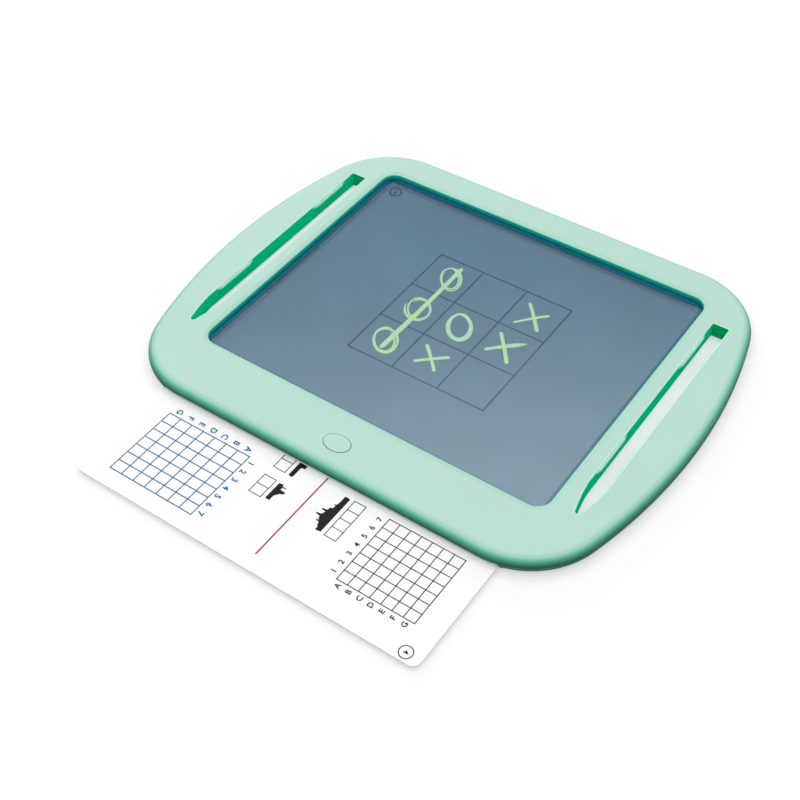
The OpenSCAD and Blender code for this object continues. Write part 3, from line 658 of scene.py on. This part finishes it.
# Ships from their side, keel down: (along, up) as shares of the length and height
SUBMARINE = ((0.04, 0), (0.9, 0), (1, 0.22), (0.97, 0.5), (0.6, 0.56), (0.58, 1), (0.38, 1), (0.37, 0.56),
             (0.04, 0.56), (0, 0.42), (0, 0.14))
PATROL_BOAT = ((0, 0.1), (0.05, 0), (0.95, 0), (1, 0.42), (0.89, 0.42), (0.88, 0.83), (0.84, 0.83),
               (0.82, 0.5), (0.7, 0.5), (0.68, 1), (0.57, 1), (0.5, 0.72), (0.29, 0.42), (0, 0.42))
WARSHIP = ((0.02, 0), (0.98, 0), (1, 0.2), (0.99, 0.35), (0.8, 0.35), (0.73, 0.4), (0.72, 0.5), (0.7, 0.5),
           (0.69, 0.4), (0.62, 0.42), (0.6, 0.58), (0.53, 0.6), (0.51, 0.9), (0.48, 0.9), (0.47, 0.62),
           (0.42, 0.66), (0.38, 0.72), (0.37, 1), (0.34, 1), (0.32, 0.7), (0.26, 0.66), (0.235, 0.56),
           (0.23, 0.71), (0.2, 0.71), (0.195, 0.5), (0.12, 0.44), (0.08, 0.35), (0, 0.35))


def ship(mesh, outline, foot, length, height, side, z):
    """A ship seen from its side, its keel along Y from foot and its deck towards side."""
    slab(mesh, [(foot[0] + side*up*height, foot[1] + along*length) for along, up in outline], z)


fleet_top = 2.15
card_centre = Vector((0, -72.6))
half_turn = Matrix.Translation((*(2*card_centre), 0)) @ Matrix.Rotation(math.pi, 4, "Z")
columns, rows = "ABCDEFG", "1234567"

blue_print, black_print, red_print = bmesh.new(), bmesh.new(), bmesh.new()
ruled_grid(blue_print, -83.2, -33.0, -161.7, -120.0, grid_count, grid_count, fleet_top, 0.6)
for k in range(grid_count):
    letter(blue_print, columns[k], (-36.6 - 7.17*k, -116.8), 4.4, fleet_top, -90)
    letter(blue_print, rows[k], (-29.9, -122.98 - 5.96*k), 4.4, fleet_top, -90)
ruled_grid(black_print, 43.2, 84.3, -153.0, -113.4, grid_count, grid_count, fleet_top)
for k in range(grid_count):
    letter(black_print, columns[k], (45.9 + 5.87*k, -155.7), 3.8, fleet_top, 90)
    letter(black_print, rows[k], (39.6, -150.2 + 5.69*k), 3.8, fleet_top, 90)
ruled_grid(black_print, -19.9, -13.2, -118.3, -99.7, 1, 3, fleet_top, 0.45)
ruled_grid(black_print, -20.2, -13.4, -136.0, -124.2, 1, 2, fleet_top, 0.45)
ruled_grid(black_print, 24.1, 30.5, -137.0, -113.8, 1, 4, fleet_top, 0.45)
ship(black_print, SUBMARINE, (-11.0, -118.7), 18.8, 4.5, 1, fleet_top)
ship(black_print, PATROL_BOAT, (-11.3, -135.3), 11.1, 6.0, 1, fleet_top)
ship(black_print, WARSHIP, (21.8, -136.9), 23.0, 8.5, -1, fleet_top)
circled(black_print, "4", (89.3, -166.4), 3.45, 3.3, fleet_top, -90)
rule(red_print, (5.6, -162.1), (5.6, -104), fleet_top, 0.8)
for name, mesh, finish in (("fleet_print_blue", blue_print, blue_ink),
                           ("fleet_print_black", black_print, black_ink),
                           ("fleet_print_red", red_print, red_ink)):
    # the other end of the card carries the same print, turned round
    other = bmesh.ops.duplicate(mesh, geom=mesh.verts[:] + mesh.edges[:] + mesh.faces[:])["geom"]
    bmesh.ops.transform(mesh, matrix=half_turn, verts=[v for v in other if isinstance(v, bmesh.types.BMVert)])
    bmesh.ops.remove_doubles(mesh, verts=mesh.verts, dist=0.0005)
    printed = piece(name, mesh, finish)
    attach(printed, "fleet_card")

noughts_top = 2.95
mesh = bmesh.new()
ruled_grid(mesh, -39.0, 42.2, -34.5, 50.7, 3, 3, noughts_top, 0.75)
circled(mesh, "1", (-91.6, 81.6), 3.7, 4.4, noughts_top, 180, 0.8)
noughts_print = piece("noughts_print", mesh, black_ink)
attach(noughts_print, "noughts_card")


# ---- Handwriting
# Where the stylus pressed, the crystal turned to mirror light: a pale green, and a brighter yellow-green
# where the hand pressed harder. The noughts were drawn round twice, so that their lines run double.
stroke_t, pressure_mm = 0.02, 4
film_top = 6.0
bright_crystal, tree = material("written_lcd_film")
place = node(tree, "ShaderNodeTexCoord", {})
pressure = node(tree, "ShaderNodeTexNoise", {"Vector": place.outputs["Object"],
                                             "Scale": 1/(pressure_mm*MM), "Detail": 2.0})
hard = node(tree, "ShaderNodeMapRange", {"Value": pressure.outputs[0], "From Min": 0.42, "From Max": 0.58})
body = node(tree, "ShaderNodeMix", {"Factor": hard.outputs[0], "A": linear("#a6cfb8"),
                                    "B": linear("#aad794")}, data_type="RGBA")
haze = node(tree, "ShaderNodeMapRange", {"Value": pressure.outputs[0], "To Min": 0.2, "To Max": 0.3})
shader = node(tree, "ShaderNodeBsdfPrincipled", {"Base Color": body.outputs[2], "Roughness": haze.outputs[0],
                                                 "IOR": 1.6})
node(tree, "ShaderNodeOutputMaterial", {"Surface": shader.outputs[0]})


def stroke(mesh, points, widths, lift=0.0):
    """A flat ribbon through the points, as wide as the widths say."""
    left, right = [], []
    for k, (x, y) in enumerate(points):
        before, after = points[max(k - 1, 0)], points[min(k + 1, len(points) - 1)]
        across = Vector((before[1] - after[1], after[0] - before[0])).normalized()*widths[k]/2
        left.append((x + across.x, y + across.y))
        right.append((x - across.x, y - across.y))
    rise = [film_top + lift + 0.02*k/len(points) for k in range(len(points))]
    low = [[mesh.verts.new((*p, film_top - 0.01)) for p in edge] for edge in (left, right)]
    high = [[mesh.verts.new((*p, z + stroke_t)) for p, z in zip(edge, rise)] for edge in (left, right)]
    last = len(points) - 1
    for k in range(last):
        mesh.faces.new((low[0][k], low[0][k + 1], low[1][k + 1], low[1][k]))
        mesh.faces.new((high[0][k], high[1][k], high[1][k + 1], high[0][k + 1]))
        mesh.faces.new((low[0][k], high[0][k], high[0][k + 1], low[0][k + 1]))
        mesh.faces.new((low[1][k], low[1][k + 1], high[1][k + 1], high[1][k]))
    for k in (0, last):
        mesh.faces.new((low[0][k], low[1][k], high[1][k], high[0][k]))


def straight(mesh, start, end, width, lift=0.0, bend=0.25, swell=0.0, tip=0.0, steps=48):
    """A quick stroke of the pen, slightly bowed, with round ends. It swells on its way by a share of its
    width, and runs to a point over the last share of its length, where tip gives one."""
    way = Vector(end) - Vector(start)
    across = Vector((-way.y, way.x)).normalized()
    points, widths = [], []
    for k in range(steps + 1):
        t = k/steps
        spot = Vector(start) + way*t + across*bend*math.sin(math.pi*t)
        points.append((spot.x, spot.y))
        from_end = min(1.0, min(t, 1 - t)*way.length/(width/2) + 0.02)
        round_end = math.sqrt(1 - (1 - from_end)**2)
        widths.append(width*round_end*(1 + swell*t)*(1 + 0.08*math.sin(5*t + start[0])))
        if tip:
            widths[-1] *= min(1.0, (1 - t)/tip + 0.05)
    stroke(mesh, points, widths, lift)


def nought(mesh, centre, wide, tall, width, slip, phase, turns=1.95, drift=0.22, lift=0.0, steps=110):
    """A ring drawn round twice. The second pass is smaller and slips aside, so that it meets the first
    on one side and leaves it on the other."""
    points, widths = [], []
    for k in range(steps + 1):
        t = k/steps
        a = phase + math.tau*turns*t
        size = 1 - drift*(t - 0.4) + 0.02*math.sin(2.7*a + centre[1])
        points.append((centre[0] + slip[0]*(t - 0.4) + size*(wide[0]*math.cos(a) + tall[0]*math.sin(a)),
                       centre[1] + slip[1]*(t - 0.4) + size*(wide[1]*math.cos(a) + tall[1]*math.sin(a))))
        widths.append(width*(1 + 0.15*math.sin(1.7*a + centre[0]))*min(1, 0.35 + 12*min(t, 1 - t)))
    stroke(mesh, points, widths, lift)


mesh = bmesh.new()
nought(mesh, (-21.8, 33.9), (4.4, 2.9), (-4.9, 7.3), 1.1, (-1.5, 0.3), 1.9)
nought(mesh, (-22.8, 5.1), (5.0, 3.4), (-4.7, 6.9), 1.1, (1.3, 1.0), 2.6)
nought(mesh, (-23.4, -23.2), (5.1, 3.4), (-5.1, 7.2), 1.25, (-1.3, -0.9), 1.2)
nought(mesh, (2.5, 5.4), (4.9, 3.3), (-5.3, 8.1), 1.8, (-0.7, 0.4), 0.7, drift=0.15)
straight(mesh, (22.5, 41.0), (36.9, 24.3), 1.9)
straight(mesh, (23.1, 23.6), (36.1, 38.2), 1.6, 0.012)
straight(mesh, (21.7, 14.1), (36.4, -3.7), 2.0)
straight(mesh, (21.4, -1.2), (37.6, 14.1), 1.9, 0.012, swell=0.8, tip=0.28)
straight(mesh, (-4.5, -14.1), (9.6, -28.2), 1.8)
straight(mesh, (-3.3, -27.8), (10.5, -15.6), 2.0, 0.012)
straight(mesh, (-21.5, 44.6), (-22.4, -29.4), 2.6, 0.02, bend=0.5)
handwriting = piece("handwriting", mesh, bright_crystal)
handwriting.visible_shadow = handwriting.visible_diffuse = False    # ink-thin: it shades nothing
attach(handwriting, "tablet")


# ---- Screws
# Eight pan-head screws in the wells and one in the battery door, carbon steel, zinc plated and blue
# passivated: a soft bright metal with a faint cloudy bloom.
zinc_steel, tree = material("zinc_plated_steel")
place = node(tree, "ShaderNodeTexCoord", {})
bloom_mm = 1.2
bloom = node(tree, "ShaderNodeTexNoise", {"Vector": place.outputs["Object"], "Scale": 1/(bloom_mm*MM),
                                          "Detail": 3.0})
body = node(tree, "ShaderNodeMix", {"Factor": bloom.outputs[0], "A": linear("#b9bdc4"),
                                    "B": linear("#d5d7d8")}, data_type="RGBA")
dull = node(tree, "ShaderNodeMapRange", {"Value": bloom.outputs[0], "To Min": 0.28, "To Max": 0.45})
shader = node(tree, "ShaderNodeBsdfPrincipled", {"Base Color": body.outputs[2], "Metallic": 1.0,
                                                 "Roughness": dull.outputs[0]})
node(tree, "ShaderNodeOutputMaterial", {"Surface": shader.outputs[0]})
dress(zinc_steel, "housing_screws", "battery_door_screw")


# ---- Feet
# Four self-adhesive discs of translucent silicone rubber, pressed into shallow seats in the underside.
silicone, tree = material("silicone_rubber")
place = node(tree, "ShaderNodeTexCoord", {})
dust_mm = 1.5
dust = node(tree, "ShaderNodeTexNoise", {"Vector": place.outputs["Object"], "Scale": 1/(dust_mm*MM),
                                         "Detail": 4.0})
body = node(tree, "ShaderNodeMix", {"Factor": dust.outputs[0], "A": linear("#cfd3d3"),
                                    "B": linear("#dfe2e1")}, data_type="RGBA")
relief = node(tree, "ShaderNodeBump", {"Height": dust.outputs[0], "Strength": 0.3, "Distance": 0.03*MM})
shader = node(tree, "ShaderNodeBsdfPrincipled", {
    "Base Color": body.outputs[2], "Roughness": 0.7, "IOR": 1.41, "Normal": relief.outputs[0],
    "Subsurface Weight": 0.3, "Subsurface Scale": 0.5*MM})
node(tree, "ShaderNodeOutputMaterial", {"Surface": shader.outputs[0]})
dress(silicone, "rubber_feet")


# ---- Inner parts
# What sits inside the closed case: the board with its chip and parts, the switch under the button, the
# flex tail to the film, and the coin cell between two contacts. They show only if the case is opened.
def plain_finish(name, low, high, scale_mm, roughness, metallic=0.0):
    """A finish whose colour clouds between two tones."""
    made, tree = material(name)
    place = node(tree, "ShaderNodeTexCoord", {})
    cloud = node(tree, "ShaderNodeTexNoise", {"Vector": place.outputs["Object"], "Scale": 1/(scale_mm*MM),
                                              "Detail": 3.0})
    body = node(tree, "ShaderNodeMix", {"Factor": cloud.outputs[0], "A": linear(low),
                                        "B": linear(high)}, data_type="RGBA")
    dull = node(tree, "ShaderNodeMapRange", {"Value": cloud.outputs[0], "To Min": roughness - 0.08,
                                             "To Max": roughness + 0.08})
    shader = node(tree, "ShaderNodeBsdfPrincipled", {"Base Color": body.outputs[2], "Metallic": metallic,
                                                     "Roughness": dull.outputs[0]})
    node(tree, "ShaderNodeOutputMaterial", {"Surface": shader.outputs[0]})
    return made


dress(plain_finish("solder_mask_on_glass_epoxy", "#175538", "#206a47", 6, 0.35), "circuit_board")
dress(plain_finish("moulded_epoxy", "#1c1e20", "#2a2c2f", 0.8, 0.6), "driver_chip")
dress(plain_finish("fired_ceramic", "#857b6e", "#968b7d", 0.7, 0.5), "board_parts")
dress(plain_finish("moulded_black_nylon", "#202224", "#2c2e31", 1.0, 0.5), "tact_switch")
dress(plain_finish("natural_acetal", "#d8d3c4", "#e2ddd0", 1.5, 0.35), "switch_plunger")
dress(plain_finish("polyimide_film", "#b9781f", "#cb8c33", 5, 0.25), "film_flex_tail")
dress(plain_finish("nickel_plated_steel", "#bcbfc2", "#d0d2d4", 3, 0.3, 1.0), "coin_cell")
dress(plain_finish("phosphor_bronze", "#c2a763", "#d1b873", 2, 0.3, 1.0), "contact_negative")
dress(plain_finish("spring_bronze", "#c2a763", "#d1b873", 2, 0.32, 1.0), "contact_positive")


# ---- Table
# A white table top that runs out of view. The camera and mirrors see it white, with part of the
# tablet's soft shadow on it; what it throws back on the case is duller, as from a matt sheet.
table_size, table_corner, table_z = 9000, 900, -0.42    # just under the feet
speckle_mm = 4
table_white, tree = material("matt_white_laminate")
rays = node(tree, "ShaderNodeLightPath", {})
place = node(tree, "ShaderNodeTexCoord", {})
speckle = node(tree, "ShaderNodeTexNoise", {"Vector": place.outputs["Object"], "Scale": 1/(speckle_mm*MM),
                                            "Detail": 2.0})
sheet = node(tree, "ShaderNodeMix", {"Factor": speckle.outputs[0], "A": linear("#fafafa"),
                                     "B": linear("#fcfcfc")}, data_type="RGBA")
seen = node(tree, "ShaderNodeMath", {0: rays.outputs["Is Camera Ray"], 1: rays.outputs["Is Glossy Ray"]},
            operation="MAXIMUM")
seen = node(tree, "ShaderNodeMath", {0: seen.outputs[0], 1: rays.outputs["Is Transmission Ray"]},
            operation="MAXIMUM")
lit = node(tree, "ShaderNodeBsdfDiffuse", {"Color": sheet.outputs[2]})
white = node(tree, "ShaderNodeEmission", {"Color": (1, 1, 1, 1), "Strength": 1.0})
shown = node(tree, "ShaderNodeMixShader", {0: 0.48, 1: lit.outputs[0], 2: white.outputs[0]})
grey = node(tree, "ShaderNodeBsdfDiffuse", {"Color": linear("#9a9a9a")})
mixed = node(tree, "ShaderNodeMixShader", {0: seen.outputs[0], 1: grey.outputs[0], 2: shown.outputs[0]})
node(tree, "ShaderNodeOutputMaterial", {"Surface": mixed.outputs[0]})
mesh = bmesh.new()
plate(mesh, ring(mesh, rounded_plan(table_size, table_size, table_corner), table_z))
table = piece("table_top", mesh, table_white)


# ---- Light
# A white tent with a bright band two thirds of the way up, which the film mirrors, and one large soft
# lamp, low on the left and behind, that draws the shadows out to the front right.
world = bpy.data.worlds.new("studio_tent")
bpy.context.scene.world = world
world.use_nodes = True
world.node_tree.nodes.clear()
tree = world.node_tree
rays = node(tree, "ShaderNodeLightPath", {})
place = node(tree, "ShaderNodeTexCoord", {})
height = node(tree, "ShaderNodeSeparateXYZ", {"Vector": place.outputs["Generated"]})
glow = node(tree, "ShaderNodeValToRGB", {"Fac": height.outputs["Z"]})
glow.color_ramp.interpolation = "EASE"
band_strength = 2.7
steps = ((0.0, 0.09), (0.62, 0.10), (0.665, 0.125), (0.70, 0.34), (0.785, 1.0), (0.84, 0.88),
         (0.90, 0.43), (1.0, 0.40))    # height, share of the band's strength
for k in range(len(steps) - 2):
    glow.color_ramp.elements.new(0.5)
for stop, (level, share) in zip(glow.color_ramp.elements, steps):
    stop.position, stop.color = level, (share, share, share, 1)
bright = node(tree, "ShaderNodeMath", {0: glow.outputs[0], 1: band_strength}, operation="MULTIPLY")
tent = node(tree, "ShaderNodeBackground", {"Color": (1, 1, 1, 1), "Strength": bright.outputs[0]})
white = node(tree, "ShaderNodeBackground", {"Color": (1, 1, 1, 1), "Strength": 1.0})
mixed = node(tree, "ShaderNodeMixShader", {0: rays.outputs["Is Camera Ray"], 1: tent.outputs[0],
                                           2: white.outputs[0]})
node(tree, "ShaderNodeOutputWorld", {"Surface": mixed.outputs[0]})

lamp = bpy.data.objects.new("soft_lamp", bpy.data.lights.new("soft_lamp", "AREA"))
lamp.data.shape = "DISK"
lamp.data.size = 0.9
lamp.data.energy = 13
lamp.location = (-1.9, 1.6, 0.95)
lamp.rotation_euler = (Vector((0, 0, 0)) - lamp.location).to_track_quat("-Z", "Y").to_euler()
bpy.context.scene.collection.objects.link(lamp)

bpy.context.scene.view_settings.view_transform = "Standard"
